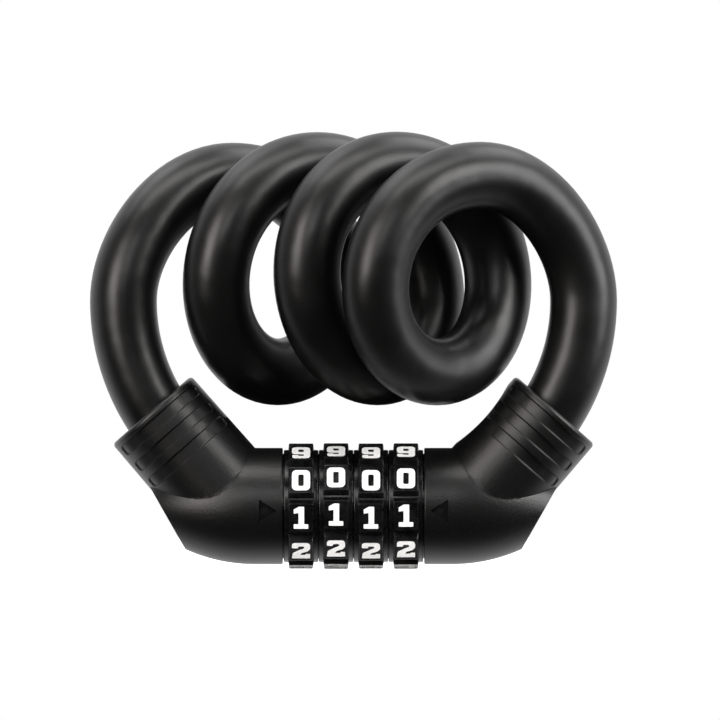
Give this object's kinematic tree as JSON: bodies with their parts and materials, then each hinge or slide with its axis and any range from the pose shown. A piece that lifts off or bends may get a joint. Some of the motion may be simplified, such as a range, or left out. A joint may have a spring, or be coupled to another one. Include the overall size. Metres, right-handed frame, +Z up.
{
  "type": "coiled cable lock",
  "caption": "Thick coiled cable with an angled housing on each end; number dials between the housings hold a toothed bolt that pulls out when they line up.",
  "frame": {"origin": "middle of the coil's bore, above the middle of the dials", "axes": "+X along the dials' axis from the fixed housing to the plug, +Z up from the dials to the coil, the dials' front faces -Y"},
  "size_m": [0.1412, 0.0818, 0.1173],
  "materials": {
    "moulded_black": "fine-grained black moulding",
    "dial_black": "smooth black moulding with white numbers",
    "vinyl": "satin black vinyl",
    "wire_rope": "stranded galvanised steel",
    "zinc": "as-cast zinc",
    "steel": "plated steel",
    "brass": "turned brass"
  },
  "bodies": {
    "lock_body": {"left_cover": "moulded_black", "left_casting": "zinc", "left_ferrule": "steel", "left_ferrule_pins": "steel", "barrel": "brass", "barrel_pin": "steel", "thrust_washer": "steel", "retaining_clip": "steel", "detent_spring": "steel", "cable_sleeve": "vinyl", "cable_rope": "wire_rope"},
    "plug": {"right_cover": "moulded_black", "right_casting": "zinc", "right_ferrule": "steel", "right_ferrule_pins": "steel", "bolt": "steel", "bolt_pin": "steel"},
    "dial_1": {"dial_1": "dial_black", "code_ring_1": "brass"},
    "dial_2": {"dial_2": "dial_black", "code_ring_2": "brass"},
    "dial_3": {"dial_3": "dial_black", "code_ring_3": "brass"},
    "dial_4": {"dial_4": "dial_black", "code_ring_4": "brass"}
  },
  "joints": [
    {"name": "plug_slide", "type": "slide", "parent": "lock_body", "child": "plug", "axis": [1, 0, 0], "range_m": [0, 0.045], "deforming": ["cable_sleeve", "cable_rope"]},
    {"name": "dial_1_turn", "type": "hinge", "parent": "lock_body", "child": "dial_1", "pos_m": [-0.0141, 0, -0.0639], "axis": [1, 0, 0], "continuous": true, "deforming": ["detent_spring"]},
    {"name": "dial_2_turn", "type": "hinge", "parent": "lock_body", "child": "dial_2", "pos_m": [-0.0047, 0, -0.0639], "axis": [1, 0, 0], "continuous": true, "deforming": ["detent_spring"]},
    {"name": "dial_3_turn", "type": "hinge", "parent": "lock_body", "child": "dial_3", "pos_m": [0.0047, 0, -0.0639], "axis": [1, 0, 0], "continuous": true, "deforming": ["detent_spring"]},
    {"name": "dial_4_turn", "type": "hinge", "parent": "lock_body", "child": "dial_4", "pos_m": [0.0141, 0, -0.0639], "axis": [1, 0, 0], "continuous": true, "deforming": ["detent_spring"]}
  ]
}
